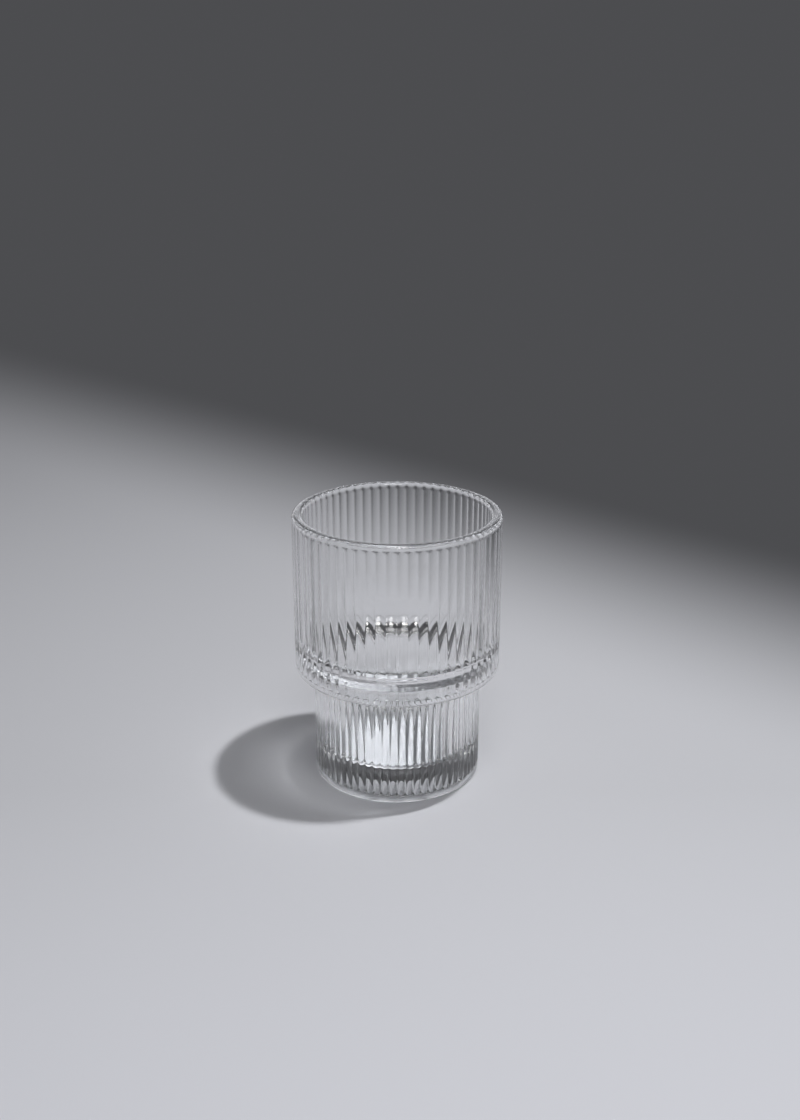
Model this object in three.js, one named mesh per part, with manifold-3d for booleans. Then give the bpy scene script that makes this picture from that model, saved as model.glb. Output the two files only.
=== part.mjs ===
// A stacking rocks glass: one piece of pressed clear glass in two reeded tiers.
// Millimetres, +Z up. The origin is the middle of the surface that the glass stands on.

import * as THREE from "three";
import { mergeVertices } from "three/addons/utils/BufferGeometryUtils.js";
import Module from "manifold-3d";

// Driving dimensions
const HEIGHT = 107;
const MOUTH_DIAMETER = 80; // over the rib crests of the upper tier
const FOOT_DIAMETER = 65.3; // over the rib crests of the lower tier
const STEP_HEIGHT = 43.8; // from the table to the underside of the upper tier
const UPPER_WALL = 4.4;
const LOWER_WALL = 4.2;
const BASE_THICKNESS = 12;
const LEDGE_THICKNESS = 3.6; // from the underside of the upper tier to the ledge's inner edge
const LEDGE_RISE = 6.2; // from the ledge's inner edge up to where its slope meets the upper wall

// Ribs
const RIB_COUNT = 66; // round each tier, those of the lower tier in line with the upper ones
const UPPER_RIB_DEPTH = 0.35; // from crest to valley
const LOWER_RIB_DEPTH = 0.75;
const VALLEY_SHARE = 0.16; // part of the way from a valley to a crest that is hollow
const RUN_OUT = 0.6; // height over which a valley comes up to the smooth glass at its end
const STEP_BAND = 1.1; // smooth band between the step's rounded edge and the upper ribs
const FOOT_BAND = 3.2; // smooth band between the table and the lower ribs

// Rounded edges
const HEEL_ROUND = 0.8;
const RIM_OUTER_SHARE = 0.34; // part of the upper wall taken by the rim's outer round
const RIM_INNER_SHARE = 0.41; // part of it taken by the rim's inner round
const FLOOR_ROUND = 4;
const ARMPIT_SHARE = 0.17; // part of the step's width taken by the hollow corner under it
const STEP_EDGE_SHARE = 0.29; // part of the step's width taken by its rounded edge
const LEDGE_EDGE_SHARE = 0.05; // part of the ledge's slope taken by the round at its inner edge
const LEDGE_HOLLOW_SHARE = 0.7; // part of it taken by the hollow that runs up into the wall

// Underside
const PUNT_DEPTH = 0.5; // shallow hollow that leaves a flat ring to stand on
const REST_WIDTH = 6; // width of that ring

// Facets
const FACETS_PER_RIB = 4;
const BORE_FACETS = 88;
const ROUND_STEPS = 2; // straight stretches in a rounded outer edge
const BORE_ROUND_STEPS = 3;

// Sizes that follow from the ones above
const upperRadius = MOUTH_DIAMETER / 2;
const lowerRadius = FOOT_DIAMETER / 2;
const upperBore = upperRadius - UPPER_WALL;
const lowerBore = lowerRadius - LOWER_WALL;
const rimOuterRound = RIM_OUTER_SHARE * UPPER_WALL;
const rimInnerRound = RIM_INNER_SHARE * UPPER_WALL;
const stepWidth = upperRadius - lowerRadius;
const armpit = ARMPIT_SHARE * stepWidth;
const stepEdge = STEP_EDGE_SHARE * stepWidth;
const ledgeHeight = STEP_HEIGHT + LEDGE_THICKNESS;
const ledgeSlope = Math.hypot(upperBore - lowerBore, LEDGE_RISE);

// The stretch of each tier that has ribs. The rounded edges at its two ends stay smooth.
const lowerRibs = {
  radius: lowerRadius,
  depth: LOWER_RIB_DEPTH,
  bottom: FOOT_BAND,
  top: STEP_HEIGHT - armpit,
};
const upperRibs = {
  radius: upperRadius,
  depth: UPPER_RIB_DEPTH,
  bottom: STEP_HEIGHT + stepEdge + STEP_BAND,
  top: HEIGHT - rimOuterRound,
};

const { Manifold, Mesh } = await loadManifold();

async function loadManifold() {
  const wasm = await Module();
  wasm.setup();
  return wasm;
}

// A closed geometry as a solid that can be cut, without the triangles that a pole squeezes flat.
function solidFrom(geometry) {
  const bare = geometry.clone();
  bare.deleteAttribute("normal");
  bare.deleteAttribute("uv");
  const merged = mergeVertices(bare);
  const corners = merged.index.array;
  const triangles = [];
  for (let first = 0; first < corners.length; first += 3) {
    const [a, b, c] = corners.slice(first, first + 3);
    if (a !== b && b !== c && c !== a) triangles.push(a, b, c);
  }
  return new Manifold(
    new Mesh({
      numProp: 3,
      vertProperties: new Float32Array(merged.attributes.position.array),
      triVerts: new Uint32Array(triangles),
    }),
  );
}

function geometryFrom(solid) {
  const mesh = solid.getMesh();
  const geometry = new THREE.BufferGeometry();
  geometry.setAttribute("position", new THREE.BufferAttribute(mesh.vertProperties, mesh.numProp));
  geometry.setIndex(new THREE.BufferAttribute(mesh.triVerts, 1));
  geometry.computeVertexNormals();
  return geometry;
}

// A corner of an outline: its distance from the axis, its height, and how far along both of its
// sides its rounding reaches.
function corner(radius, height, reach = 0) {
  return { point: new THREE.Vector2(radius, height), reach };
}

// The points of an outline, with an arc in place of each corner that is rounded.
function outlineThrough(corners, steps) {
  return corners.flatMap(({ point, reach }, index) => {
    if (reach === 0) return [point];
    const toBefore = corners[index - 1].point.clone().sub(point).normalize();
    const toAfter = corners[index + 1].point.clone().sub(point).normalize();
    const halfAngle = Math.acos(toBefore.dot(toAfter)) / 2;
    const inward = toBefore.clone().add(toAfter).normalize();
    const centre = point.clone().addScaledVector(inward, reach / Math.cos(halfAngle));
    const radius = reach * Math.tan(halfAngle);
    const start = point.clone().addScaledVector(toBefore, reach).sub(centre).angle();
    const end = point.clone().addScaledVector(toAfter, reach).sub(centre).angle();
    const clockwise = toBefore.cross(toAfter) > 0;
    const arc = new THREE.EllipseCurve(centre.x, centre.y, radius, radius, start, end, clockwise);
    return arc.getPoints(steps);
  });
}

// Turns an outline that starts and ends on the axis into a solid of revolution about Z.
function turned(outline, facets) {
  return new THREE.LatheGeometry(outline, facets).rotateX(Math.PI / 2);
}

// The corners where a tier's valleys begin, reach their full depth, and lose it again.
function ribCorners({ radius, bottom, top }) {
  return [
    corner(radius, bottom),
    corner(radius, bottom + RUN_OUT),
    corner(radius, top - RUN_OUT),
  ];
}

// The outside without its ribs, from the middle of the underside up to the rim and across the mouth.
function bodyOutline() {
  return outlineThrough(
    [
      corner(0, PUNT_DEPTH),
      corner(lowerRadius - HEEL_ROUND - REST_WIDTH, 0),
      corner(lowerRadius, 0, HEEL_ROUND),
      ...ribCorners(lowerRibs),
      corner(lowerRadius, STEP_HEIGHT, armpit),
      corner(upperRadius, STEP_HEIGHT, stepEdge),
      ...ribCorners(upperRibs),
      corner(upperRadius, HEIGHT, rimOuterRound),
      corner(0, HEIGHT),
    ],
    ROUND_STEPS,
  );
}

// The space inside, from the middle of the floor up through the mouth.
function boreOutline() {
  const rimFlare = upperBore + rimInnerRound;
  const aboveRim = HEIGHT + 1;
  return outlineThrough(
    [
      corner(0, BASE_THICKNESS),
      corner(lowerBore, BASE_THICKNESS, FLOOR_ROUND),
      corner(lowerBore, ledgeHeight, LEDGE_EDGE_SHARE * ledgeSlope),
      corner(upperBore, ledgeHeight + LEDGE_RISE, LEDGE_HOLLOW_SHARE * ledgeSlope),
      corner(upperBore, HEIGHT, rimInnerRound),
      corner(rimFlare, HEIGHT),
      corner(rimFlare, aboveRim),
      corner(0, aboveRim),
    ],
    BORE_ROUND_STEPS,
  );
}

// How far the surface lies inside the crests at one height of a tier: a round back to each rib,
// a narrow hollow between two, and nothing at the smooth ends. All ribs have the same curve.
function valleyDepth({ depth, bottom, top }, height, angle) {
  const alongPitch = THREE.MathUtils.euclideanModulo((angle * RIB_COUNT) / (2 * Math.PI), 1);
  const fromCrest = Math.abs(2 * alongPitch - 1);
  const back = 1 - VALLEY_SHARE;
  const dip = fromCrest < back ? fromCrest ** 2 / back : 1 - (1 - fromCrest) ** 2 / VALLEY_SHARE;
  const toEnd = Math.min(height - bottom, top - height);
  return depth * dip * THREE.MathUtils.clamp(toEnd / RUN_OUT, 0, 1);
}

// Presses the valleys between the ribs into the wall of the body, with one at the front, at -Y.
function withRibs(geometry) {
  const position = geometry.attributes.position;
  const point = new THREE.Vector3();
  for (let index = 0; index < position.count; index += 1) {
    point.fromBufferAttribute(position, index);
    const ribs = [lowerRibs, upperRibs].find(({ bottom, top }) => point.z > bottom && point.z < top);
    const radius = Math.hypot(point.x, point.y);
    if (!ribs || radius === 0) continue;
    const angle = Math.atan2(point.x, -point.y);
    const share = 1 - valleyDepth(ribs, point.z, angle) / radius;
    position.setXYZ(index, point.x * share, point.y * share, point.z);
  }
  return geometry;
}

function tumbler() {
  const body = withRibs(turned(bodyOutline(), RIB_COUNT * FACETS_PER_RIB));
  const bore = turned(boreOutline(), BORE_FACETS);
  const glass = new THREE.MeshStandardMaterial({
    color: 0xe4e8ea,
    roughness: 0.05,
    metalness: 0,
    transparent: true,
    opacity: 0.35,
  });
  const mesh = new THREE.Mesh(geometryFrom(solidFrom(body).subtract(solidFrom(bore))), glass);
  mesh.name = "tumbler";
  return mesh;
}

const rocksGlass = new THREE.Group();
rocksGlass.add(tumbler());

export default rocksGlass;
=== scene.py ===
import math

import bpy
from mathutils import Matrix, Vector


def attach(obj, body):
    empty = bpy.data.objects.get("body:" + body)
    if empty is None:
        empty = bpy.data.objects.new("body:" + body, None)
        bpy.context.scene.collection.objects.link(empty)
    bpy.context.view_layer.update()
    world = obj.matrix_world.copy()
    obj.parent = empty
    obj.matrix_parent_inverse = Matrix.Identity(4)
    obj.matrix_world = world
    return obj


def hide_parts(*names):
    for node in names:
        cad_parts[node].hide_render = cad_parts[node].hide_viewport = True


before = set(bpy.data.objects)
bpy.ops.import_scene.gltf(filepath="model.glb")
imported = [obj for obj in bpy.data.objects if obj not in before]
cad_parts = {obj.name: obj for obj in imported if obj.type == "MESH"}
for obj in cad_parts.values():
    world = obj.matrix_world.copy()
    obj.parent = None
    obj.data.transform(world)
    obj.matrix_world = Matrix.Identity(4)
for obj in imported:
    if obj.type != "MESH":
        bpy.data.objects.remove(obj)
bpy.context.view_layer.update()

# Tumbler: a stacking rocks glass of clear glass, pressed in one piece.
# A ribbed mould gives the outside its two reeded tiers, and a smooth plunger presses the inside.
# The rim is fire-polished, and the glass stands on a flat ring round a shallow hollow.
MM = 0.001
SAME_PLACE = 0.001 * MM
HEIGHT = 107 * MM
UPPER_RADIUS = 40 * MM
LOWER_RADIUS = 32.65 * MM
UPPER_BORE = 35.6 * MM
LOWER_BORE = 28.45 * MM
STEP_HEIGHT = 43.8 * MM
LEDGE_HEIGHT = 47.4 * MM
LEDGE_RISE = 6.2 * MM
FLOOR_HEIGHT = 12 * MM
PUNT_DEPTH = 0.3 * MM
REST_WIDTH = 6 * MM

# How far each round reaches along both sides of its corner
REST_ROUND = 0.8 * MM
HEEL_ROUND = 0.8 * MM
ARMPIT_ROUND = 1.2 * MM
STEP_ROUND = 2.1 * MM
RIM_OUTER_ROUND = 2 * MM
RIM_INNER_ROUND = 1.5 * MM
LEDGE_HOLLOW = 6.6 * MM
LEDGE_EDGE = 0.5 * MM
FLOOR_ROUND = 4 * MM

# Straight stretches in each round
REST_STEPS = 3
LEDGE_EDGE_STEPS = 5
HEEL_STEPS = 6
RIM_INNER_STEPS = 6
OUTER_STEPS = 8
FLOOR_STEPS = 10
LEDGE_HOLLOW_STEPS = 12

# Rows of the flatter faces, as shares of a radius, and how far from a round a face has its next row
PUNT_ROWS = (0, 0.2, 0.4, 0.6, 0.8, 0.92)
FLOOR_ROWS = (0.5, 0.2, 0)
WALL_GUARD = 0.4 * MM

# Ribs, in line on both tiers, each with a round back and with a narrow hollow between two
RIB_COUNT = 66
FACETS_PER_RIB = 12
UPPER_RIB_DEPTH = 0.38 * MM
LOWER_RIB_DEPTH = 0.9 * MM
VALLEY_SHARE = 0.14
BACK_POWER = 2.1

# The heights over which the valleys run out at their ends, and the smooth bands below them
UPPER_RUN_OUT = 1.6 * MM
LOWER_RUN_OUT = 1 * MM
RUN_OUT_ROWS = 6
END_GUARD = 0.04 * MM
FOOT_BAND = 3.2 * MM
STEP_BAND = 1.1 * MM
LOWER_RIBS = {
    "radius": LOWER_RADIUS,
    "depth": LOWER_RIB_DEPTH,
    "run_out": LOWER_RUN_OUT,
    "bottom": FOOT_BAND,
    "top": STEP_HEIGHT - ARMPIT_ROUND,
}
UPPER_RIBS = {
    "radius": UPPER_RADIUS,
    "depth": UPPER_RIB_DEPTH,
    "run_out": UPPER_RUN_OUT,
    "bottom": STEP_HEIGHT + STEP_ROUND + STEP_BAND,
    "top": HEIGHT - RIM_OUTER_ROUND,
}


def corner(radius, height, reach=0.0, steps=0):
    """A corner of the outline, and how far along both of its sides its rounding reaches."""
    return Vector((radius, height)), reach, steps


def rib_rows(ribs):
    """Corners up a tier's wall, close together where its valleys run out at both ends.

    The lowest one, just below the valleys, keeps their shading off the smooth band.
    """
    quarter = [math.pi / 2 * row / RUN_OUT_ROWS for row in range(RUN_OUT_ROWS + 1)]
    steps = [ribs["run_out"] * (1 - math.cos(angle)) for angle in quarter]
    low = [corner(ribs["radius"], ribs["bottom"] + step) for step in (-END_GUARD, *steps)]
    high = [corner(ribs["radius"], ribs["top"] - step) for step in reversed(steps)]
    return low + high


def outline_through(corners):
    """The points of the outline, with an arc in place of each corner that is rounded."""
    points = []
    for index, (place, reach, steps) in enumerate(corners):
        if steps == 0:
            points.append(place)
            continue
        to_before = (corners[index - 1][0] - place).normalized()
        to_after = (corners[index + 1][0] - place).normalized()
        half_angle = to_before.angle(to_after) / 2
        inward = (to_before + to_after).normalized()
        centre = place + inward * (reach / math.cos(half_angle))
        start = place + to_before * reach - centre
        end = place + to_after * reach - centre
        turns = [start.slerp(end, step / steps).normalized() for step in range(steps + 1)]
        points += [centre + turn * start.length for turn in turns]
    return points


def share_left(to_end, run_out):
    """How much of a valley is left this near to one of its ends, which is rounded."""
    return math.sqrt(1 - (1 - min(to_end / run_out, 1)) ** 2)


def ribs_at(point):
    """The ribs' depth at a point of the outline, and the share of it left near their foot."""
    for ribs in (LOWER_RIBS, UPPER_RIBS):
        between_ends = ribs["bottom"] < point.y < ribs["top"]
        if between_ends and math.isclose(point.x, ribs["radius"], abs_tol=SAME_PLACE):
            below_top = share_left(ribs["top"] - point.y, ribs["run_out"])
            above_bottom = share_left(point.y - ribs["bottom"], ribs["run_out"])
            return ribs["depth"] * below_top, above_bottom
    return 0.0, 0.0


# From the middle of the underside, up the outside, over the rim and down to the middle of the floor
rest_inner = LOWER_RADIUS - HEEL_ROUND - REST_WIDTH
punt = [share * rest_inner for share in PUNT_ROWS]
outline = outline_through(
    [
        *[corner(radius, PUNT_DEPTH * (1 - (radius / rest_inner) ** 2)) for radius in punt],
        corner(rest_inner, 0, REST_ROUND, REST_STEPS),
        corner(LOWER_RADIUS, 0, HEEL_ROUND, HEEL_STEPS),
        *rib_rows(LOWER_RIBS),
        corner(LOWER_RADIUS, STEP_HEIGHT, ARMPIT_ROUND, OUTER_STEPS),
        corner(LOWER_RADIUS + ARMPIT_ROUND + WALL_GUARD, STEP_HEIGHT),
        corner(UPPER_RADIUS - STEP_ROUND - WALL_GUARD, STEP_HEIGHT),
        corner(UPPER_RADIUS, STEP_HEIGHT, STEP_ROUND, OUTER_STEPS),
        *rib_rows(UPPER_RIBS),
        corner(UPPER_RADIUS, HEIGHT, RIM_OUTER_ROUND, OUTER_STEPS),
        corner(UPPER_RADIUS - RIM_OUTER_ROUND - WALL_GUARD, HEIGHT),
        corner(UPPER_BORE + RIM_INNER_ROUND + WALL_GUARD, HEIGHT),
        corner(UPPER_BORE, HEIGHT, RIM_INNER_ROUND, RIM_INNER_STEPS),
        corner(UPPER_BORE, HEIGHT - RIM_INNER_ROUND - WALL_GUARD),
        corner(UPPER_BORE, LEDGE_HEIGHT + LEDGE_RISE + LEDGE_HOLLOW + WALL_GUARD),
        corner(UPPER_BORE, LEDGE_HEIGHT + LEDGE_RISE, LEDGE_HOLLOW, LEDGE_HOLLOW_STEPS),
        corner(LOWER_BORE, LEDGE_HEIGHT, LEDGE_EDGE, LEDGE_EDGE_STEPS),
        corner(LOWER_BORE, LEDGE_HEIGHT - LEDGE_EDGE - WALL_GUARD),
        corner(LOWER_BORE, FLOOR_HEIGHT + FLOOR_ROUND + WALL_GUARD),
        corner(LOWER_BORE, FLOOR_HEIGHT, FLOOR_ROUND, FLOOR_STEPS),
        corner(LOWER_BORE - FLOOR_ROUND - WALL_GUARD, FLOOR_HEIGHT),
        *[corner(share * LOWER_BORE, FLOOR_HEIGHT) for share in FLOOR_ROWS],
    ]
)
outline_mesh = bpy.data.meshes.new("tumbler_outline")
chain = [(index, index + 1) for index in range(len(outline) - 1)]
outline_mesh.from_pydata([(point.x, 0, point.y) for point in outline], chain, [])
for name, values in zip(("rib_depth", "rib_share"), zip(*map(ribs_at, outline))):
    outline_mesh.attributes.new(name, "FLOAT", "POINT").data.foreach_set("value", values)


class Wire:
    """A socket of a node tree, so that maths on it reads as Python."""

    def __init__(self, tree, socket=None):
        self.tree = tree
        self.socket = socket

    def node(self, kind, settings, sockets, output=0):
        """Adds a node of a type, with its settings first and then its sockets' values or links."""
        added = self.tree.nodes.new(kind)
        for name, value in settings.items():
            setattr(added, name, value)
        for key, value in sockets.items():
            if isinstance(value, Wire):
                self.tree.links.new(value.socket, added.inputs[key])
            else:
                added.inputs[key].default_value = value
        return Wire(self.tree, added.outputs[output] if added.outputs else None)

    def out(self, output):
        """Another output of the same node."""
        return Wire(self.tree, self.socket.node.outputs[output])

    def maths(self, operation, first, second=0.0):
        return self.node("ShaderNodeMath", {"operation": operation}, {0: first, 1: second})

    def __add__(self, other):
        return self.maths("ADD", self, other)

    def __radd__(self, other):
        return self.maths("ADD", other, self)

    def __sub__(self, other):
        return self.maths("SUBTRACT", self, other)

    def __rsub__(self, other):
        return self.maths("SUBTRACT", other, self)

    def __mul__(self, other):
        return self.maths("MULTIPLY", self, other)

    def __rmul__(self, other):
        return self.maths("MULTIPLY", other, self)

    def __truediv__(self, other):
        return self.maths("DIVIDE", self, other)

    def __pow__(self, other):
        return self.maths("POWER", self, other)

    def __lt__(self, other):
        return self.maths("LESS_THAN", self, other)

    def __abs__(self):
        return self.maths("ABSOLUTE", self)


mould = bpy.data.node_groups.new("ribbed_mould", "GeometryNodeTree")
mould_sizes = {}
for name, kind in (
    ("Outline", "NodeSocketGeometry"),
    ("Ribs", "NodeSocketInt"),
    ("Facets per rib", "NodeSocketInt"),
    ("Valley share", "NodeSocketFloat"),
    ("Back power", "NodeSocketFloat"),
    ("Glass", "NodeSocketMaterial"),
):
    mould_sizes[name] = mould.interface.new_socket(name, in_out="INPUT", socket_type=kind)
mould.interface.new_socket("Tumbler", in_out="OUTPUT", socket_type="NodeSocketGeometry")

# A flat sheet, with a row for each point of the outline and a column for each facet round the glass
size = Wire(mould).node("NodeGroupInput", {}, {})
facets = size.out("Facets per rib")
columns = size.out("Ribs") * facets
point_count = size.node(
    "GeometryNodeAttributeDomainSize", {}, {0: size.out("Outline")}, "Point Count"
)
sheet = size.node(
    "GeometryNodeMeshGrid", {}, {"Vertices X": point_count, "Vertices Y": columns + 1}, "Mesh"
)
index = size.node("GeometryNodeInputIndex", {}, {})
row = size.maths("FLOOR", (index + 0.5) / (columns + 1))
column = index - row * (columns + 1)
place = size.node("GeometryNodeInputPosition", {}, {})
place_on_outline = size.node(
    "GeometryNodeSampleIndex",
    {"data_type": "FLOAT_VECTOR"},
    {"Geometry": size.out("Outline"), "Value": place, "Index": row},
)
on_outline = {}
for name in ("rib_depth", "rib_share"):
    value = size.node("GeometryNodeInputNamedAttribute", {"data_type": "FLOAT"}, {"Name": name})
    on_outline[name] = size.node(
        "GeometryNodeSampleIndex",
        {"data_type": "FLOAT"},
        {"Geometry": size.out("Outline"), "Value": value, "Index": row},
    )

# Half a rib in section: a round back that runs smoothly into half of the hollow beside it
from_crest = abs(2 * size.maths("FRACT", column / facets) - 1)
valley = size.out("Valley share")
back = 1 - valley
power = size.out("Back power")
full_dip = back + power / 2 * valley
on_back = from_crest < back
round_back = (from_crest / back) ** power * back / full_dip
hollow = 1 - power / 2 / full_dip * (1 - from_crest) ** 2 / valley
valley_shape = on_back * round_back + (1 - on_back) * hollow
valley_left = size.maths("MINIMUM", valley_shape, on_outline["rib_share"])

# The sheet is turned into the glass, with its valleys pressed in
radius = size.node("ShaderNodeSeparateXYZ", {}, {0: place_on_outline}, "X")
pressed_radius = radius - on_outline["rib_depth"] * valley_left
angle = column / columns * (-2 * math.pi)
pressed_place = size.node(
    "ShaderNodeCombineXYZ",
    {},
    {
        "X": pressed_radius * size.maths("SINE", angle),
        "Y": pressed_radius * size.maths("COSINE", angle) * -1,
        "Z": radius.out("Z"),
    },
)
turned = size.node("GeometryNodeSetPosition", {}, {"Geometry": sheet, "Position": pressed_place})
closed = size.node("GeometryNodeMergeByDistance", {}, {"Geometry": turned, "Distance": SAME_PLACE})
smooth = size.node("GeometryNodeSetShadeSmooth", {}, {"Geometry": closed, "Shade Smooth": True})
whole = size.node("GeometryNodeRealizeInstances", {}, {"Geometry": smooth})
glazed = size.node(
    "GeometryNodeSetMaterial", {}, {"Geometry": whole, "Material": size.out("Glass")}
)
size.node("NodeGroupOutput", {}, {"Tumbler": glazed})

GLASS_IOR = 1.5
THIN_GLASS_COLOUR = (0.998, 0.999, 1.0, 1)
THICK_GLASS_COLOUR = (0.955, 0.972, 0.975, 1)
THICK_GLASS_TOP = 0.6 * STEP_HEIGHT
CLEAN_ROUGHNESS = 0.002
SMUDGE_ROUGHNESS = 0.006
SMUDGE_SCALE = 45
SMUDGE_DETAIL = 4
SCUFF_ROUGHNESS = 0.2
SCUFF_SCALE = 900
SCUFF_DETAIL = 2
SCUFF_HEIGHT = 0.25 * MM
WAVE_HEIGHT = 0.012 * MM
WAVE_SCALE = 110
WAVE_DETAIL = 2
MARK_SHARE = 5
MARK_FADE = 10 * MM
MARK_SCALE = 180
MARK_WANDER = 4
MARK_DETAIL = 1
MARK_DETAIL_SCALE = 0.4
LAMP_GAIN = 0.82
LAMP_LEAST = 0.15
LAMP_FALL = 8

# Clear glass that is tinted only where it is thick, with faint smudges and a scuffed standing ring
glass = bpy.data.materials.new("clear_pressed_glass")
glass.use_nodes = True
glass.node_tree.nodes.clear()
shader = Wire(glass.node_tree)
place = shader.node("ShaderNodeTexCoord", {}, {}, "Object")
height = shader.node("ShaderNodeSeparateXYZ", {}, {0: place}, "Z")
in_base = shader.node(
    "ShaderNodeMapRange",
    {"interpolation_type": "SMOOTHSTEP"},
    {"Value": height, "From Min": THICK_GLASS_TOP, "From Max": 0.0},
)
colour = shader.node(
    "ShaderNodeMix",
    {"data_type": "RGBA"},
    {0: in_base, 6: THIN_GLASS_COLOUR, 7: THICK_GLASS_COLOUR},
    2,
)
smudges = shader.node(
    "ShaderNodeTexNoise", {}, {"Vector": place, "Scale": SMUDGE_SCALE, "Detail": SMUDGE_DETAIL}
)
scratches = shader.node(
    "ShaderNodeTexNoise", {}, {"Vector": place, "Scale": SCUFF_SCALE, "Detail": SCUFF_DETAIL}
)
scuffed = (height < SCUFF_HEIGHT) * scratches
roughness = CLEAN_ROUGHNESS + SMUDGE_ROUGHNESS * smudges + SCUFF_ROUGHNESS * scuffed

# Faint waves all over, and fine wavy lines on the near side of the ledge
waves = shader.node(
    "ShaderNodeTexNoise", {}, {"Vector": place, "Scale": WAVE_SCALE, "Detail": WAVE_DETAIL}
)
marks = shader.node(
    "ShaderNodeTexWave",
    {"bands_direction": "Z"},
    {
        "Vector": place,
        "Scale": MARK_SCALE,
        "Distortion": MARK_WANDER,
        "Detail": MARK_DETAIL,
        "Detail Scale": MARK_DETAIL_SCALE,
    },
    "Fac",
)
on_ledge = shader.node(
    "ShaderNodeMapRange",
    {"interpolation_type": "SMOOTHSTEP"},
    {
        "Value": abs(height - (LEDGE_HEIGHT + LEDGE_RISE / 2)),
        "From Min": LEDGE_RISE,
        "From Max": LEDGE_RISE / 2,
    },
)
from_axis_squared = height.out("X") * height.out("X") + height.out("Y") * height.out("Y")
inside = from_axis_squared < ((UPPER_BORE + UPPER_RADIUS) / 2) ** 2
near_side = shader.node(
    "ShaderNodeMapRange",
    {"interpolation_type": "SMOOTHSTEP"},
    {"Value": height.out("Y"), "From Min": MARK_FADE, "From Max": -MARK_FADE},
)
relief = waves + MARK_SHARE * marks * on_ledge * inside * near_side
wavy = shader.node(
    "ShaderNodeBump", {}, {"Strength": 1.0, "Distance": WAVE_HEIGHT, "Height": relief}
)
bends = shader.node(
    "ShaderNodeBsdfPrincipled",
    {},
    {
        "Base Color": colour,
        "Roughness": roughness,
        "IOR": GLASS_IOR,
        "Transmission Weight": 1.0,
        "Normal": wavy,
    },
)

# A lamp's light goes on through a wall that it meets squarely, and little of it at a slant
facing_away = shader.node("ShaderNodeLayerWeight", {}, {"Blend": 0.5}, "Facing")
lamp_light = (LAMP_GAIN, LAMP_GAIN, LAMP_GAIN, 1)
through = shader.node("ShaderNodeBsdfTransparent", {}, {"Color": lamp_light})
passes = LAMP_LEAST + (1 - LAMP_LEAST) * (1 - facing_away) ** LAMP_FALL
lets_lamps_through = shader.node("ShaderNodeMixShader", {}, {0: passes, 1: bends, 2: through})
to_lamp = shader.node("ShaderNodeLightPath", {}, {}, "Is Shadow Ray")
surface = shader.node("ShaderNodeMixShader", {}, {0: to_lamp, 1: bends, 2: lets_lamps_through})
shader.node("ShaderNodeOutputMaterial", {}, {"Surface": surface})

tumbler = bpy.data.objects.new("tumbler_glass", outline_mesh)
bpy.context.scene.collection.objects.link(tumbler)
press = tumbler.modifiers.new("press", "NODES")
press.node_group = mould
press[mould_sizes["Ribs"].identifier] = RIB_COUNT
press[mould_sizes["Facets per rib"].identifier] = FACETS_PER_RIB
press[mould_sizes["Valley share"].identifier] = VALLEY_SHARE
press[mould_sizes["Back power"].identifier] = BACK_POWER
press[mould_sizes["Glass"].identifier] = glass
evaluated = tumbler.evaluated_get(bpy.context.evaluated_depsgraph_get())
pressed = bpy.data.meshes.new_from_object(evaluated)
# The outline's own slot, which is empty, comes before the glass
pressed.materials.pop(index=0)
tumbler.modifiers.clear()
tumbler.data = pressed
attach(tumbler, "root")
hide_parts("tumbler")

# Table: the sheet of pale matt paper that the glass stands on.
# It lies flat and runs far back. Painted light makes it paler towards the viewer. Far back on a
# slant, a painted shade takes its place: a dim glowing colour standing in for a shadow.
LIT_PAPER = (0.615, 0.622, 0.66, 1)
PAINTED_LIGHT_NEAR_PAPER = (0.79, 0.80, 0.86, 1)
PAINTED_LIGHT_NEAR_START = -0.02
PAINTED_LIGHT_NEAR_END = -0.25
PAINTED_SHADE_COLOUR = (0.073, 0.074, 0.079, 1)
PAPER_ROUGHNESS = 0.9
PAPER_DROP = 0.03 * MM
PAPER_SIDE = 3
PAPER_FRONT = -2
PAPER_BACK = 6
PAINTED_SHADE_SLANT = 1.0
PAINTED_SHADE_START = 0.15
PAINTED_SHADE_END = 0.49

paper_mesh = bpy.data.meshes.new("table_paper")
paper_mesh.from_pydata(
    [
        (-PAPER_SIDE, PAPER_FRONT, -PAPER_DROP),
        (PAPER_SIDE, PAPER_FRONT, -PAPER_DROP),
        (PAPER_SIDE, PAPER_BACK, -PAPER_DROP),
        (-PAPER_SIDE, PAPER_BACK, -PAPER_DROP),
    ],
    [],
    [(0, 1, 2, 3)],
)
paper = bpy.data.materials.new("pale_paper")
paper.use_nodes = True
paper.node_tree.nodes.clear()
shader = Wire(paper.node_tree)
place = shader.node("ShaderNodeTexCoord", {}, {}, "Object")
across = shader.node("ShaderNodeSeparateXYZ", {}, {0: place}, "X")
away = across.out("Y")
# Painted shade: far back on a slant, the paper's colour gives way to a dim glow that stands in for
# a shadow
painted_shade = shader.node(
    "ShaderNodeMapRange",
    {"interpolation_type": "SMOOTHSTEP"},
    {"Value": away + PAINTED_SHADE_SLANT * across, "From Min": PAINTED_SHADE_START, "From Max": PAINTED_SHADE_END},
)
# Painted light: the paper's colour gets paler towards the viewer, standing in for more light there
near = shader.node(
    "ShaderNodeMapRange", {}, {"Value": away, "From Min": PAINTED_LIGHT_NEAR_START, "From Max": PAINTED_LIGHT_NEAR_END}
)
paper_colour_with_painted_light = shader.node(
    "ShaderNodeMix", {"data_type": "RGBA"}, {0: near, 6: LIT_PAPER, 7: PAINTED_LIGHT_NEAR_PAPER}, 2
)
lit = shader.node(
    "ShaderNodeBsdfPrincipled", {}, {"Base Color": paper_colour_with_painted_light, "Roughness": PAPER_ROUGHNESS}
)
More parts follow.
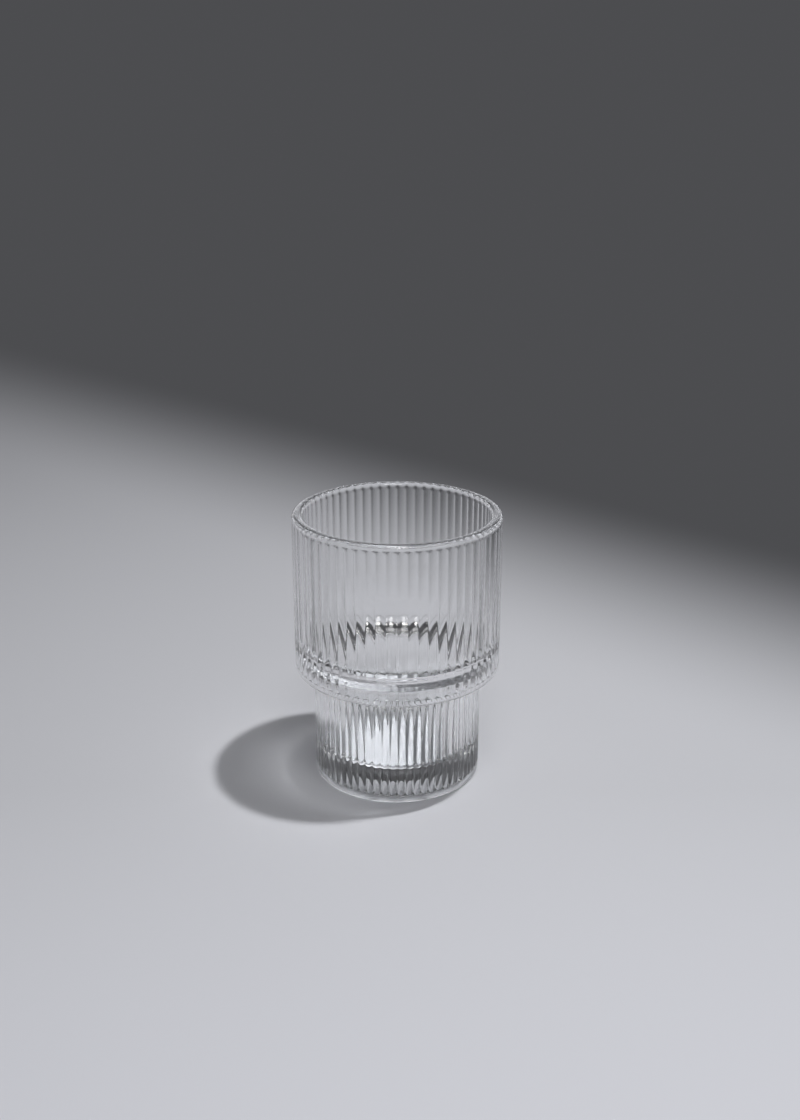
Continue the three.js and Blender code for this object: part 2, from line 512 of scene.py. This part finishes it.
# The painted shade: a dim glowing colour, not paper lying in a real shadow
painted_shade_glow = shader.node("ShaderNodeEmission", {}, {"Color": PAINTED_SHADE_COLOUR})
surface = shader.node("ShaderNodeMixShader", {}, {0: painted_shade, 1: lit, 2: painted_shade_glow})
shader.node("ShaderNodeOutputMaterial", {}, {"Surface": surface})
paper_mesh.materials.append(paper)
table = bpy.data.objects.new("table_paper", paper_mesh)
bpy.context.scene.collection.objects.link(table)

# Studio light: one small lamp high on the right, which throws the clear oval shadow to the left.
# A broad panel overhead in front fills the shadow in, and low pale walls behind show in the glass.
LAMP_PLACE = Vector((0.232, 0.016, 0.954))
LAMP_SIZE = 0.04
LAMP_POWER = 5.8
PANEL_PLACE = Vector((0.05, -0.36, 0.95))
PANEL_SIZE = 0.3
PANEL_POWER = 1.8
ROOM_COLOUR = (0.025, 0.025, 0.026, 1)
WALL_COLOUR = (0.95, 0.95, 1.0, 1)
WALL_FOOT = 0.05
WALL_TOP = 0.5
WALL_SIDE = -0.1
WALL_BACK = 0.5


def add_panel(name, place, size, power):
    """A round lamp panel that faces the foot of the glass."""
    light = bpy.data.lights.new(name, "AREA")
    light.shape = "DISK"
    light.size = size
    light.energy = power
    lamp = bpy.data.objects.new(name, light)
    lamp.location = place
    lamp.rotation_euler = place.to_track_quat("Z", "Y").to_euler()
    bpy.context.scene.collection.objects.link(lamp)


add_panel("key_lamp", LAMP_PLACE, LAMP_SIZE, LAMP_POWER)
add_panel("overhead_panel", PANEL_PLACE, PANEL_SIZE, PANEL_POWER)
room = bpy.data.worlds.new("room")
room.use_nodes = True
room.node_tree.nodes.clear()
shader = Wire(room.node_tree)
way = shader.node("ShaderNodeTexCoord", {}, {}, "Generated")
way_up = shader.node("ShaderNodeSeparateXYZ", {}, {0: way}, "Z")
low = shader.node(
    "ShaderNodeMapRange",
    {"interpolation_type": "SMOOTHSTEP"},
    {"Value": way_up, "From Min": WALL_TOP, "From Max": WALL_FOOT},
)
behind = shader.node(
    "ShaderNodeMapRange",
    {"interpolation_type": "SMOOTHSTEP"},
    {"Value": way_up.out("Y"), "From Min": WALL_SIDE, "From Max": WALL_BACK},
)
walls = shader.node(
    "ShaderNodeMix",
    {"data_type": "RGBA"},
    {0: low * behind, 6: ROOM_COLOUR, 7: WALL_COLOUR},
    2,
)

# The walls show in the glass, and past the paper's far edge the camera sees the paper's painted
# shade colour
to_camera = shader.node("ShaderNodeLightPath", {}, {}, "Is Camera Ray")
shown = shader.node(
    "ShaderNodeMix", {"data_type": "RGBA"}, {0: to_camera, 6: walls, 7: PAINTED_SHADE_COLOUR}, 2
)
background = shader.node("ShaderNodeBackground", {}, {"Color": shown})
shader.node("ShaderNodeOutputWorld", {}, {"Surface": background})
scene = bpy.context.scene
scene.world = room

# Camera: in front of the glass and above it, looking down on it.
# Glass needs many bounces, so that light gets through both walls and the base.
CAMERA_PLACE = (1.09 * MM, -453.8 * MM, 256.8 * MM)
CAMERA_TILT = math.radians(20.49)
CAMERA_NEAREST = 0.01
FOCAL_PIXELS = 1265
FRAME_HEIGHT_PIXELS = 1120
SENSOR = 36
GLASS_BOUNCES = 24
MIRROR_BOUNCES = 12
CLEAR_BOUNCES = 32

view = bpy.data.cameras.new("camera")
view.sensor_width = SENSOR
view.lens = FOCAL_PIXELS / FRAME_HEIGHT_PIXELS * SENSOR
view.clip_start = CAMERA_NEAREST
camera = bpy.data.objects.new("camera", view)
camera.location = CAMERA_PLACE
camera.rotation_euler = (math.pi / 2 - CAMERA_TILT, 0, 0)
scene.collection.objects.link(camera)
scene.camera = camera
scene.view_settings.view_transform = "Standard"
scene.cycles.max_bounces = GLASS_BOUNCES
scene.cycles.transmission_bounces = GLASS_BOUNCES
scene.cycles.glossy_bounces = MIRROR_BOUNCES
scene.cycles.transparent_max_bounces = CLEAR_BOUNCES
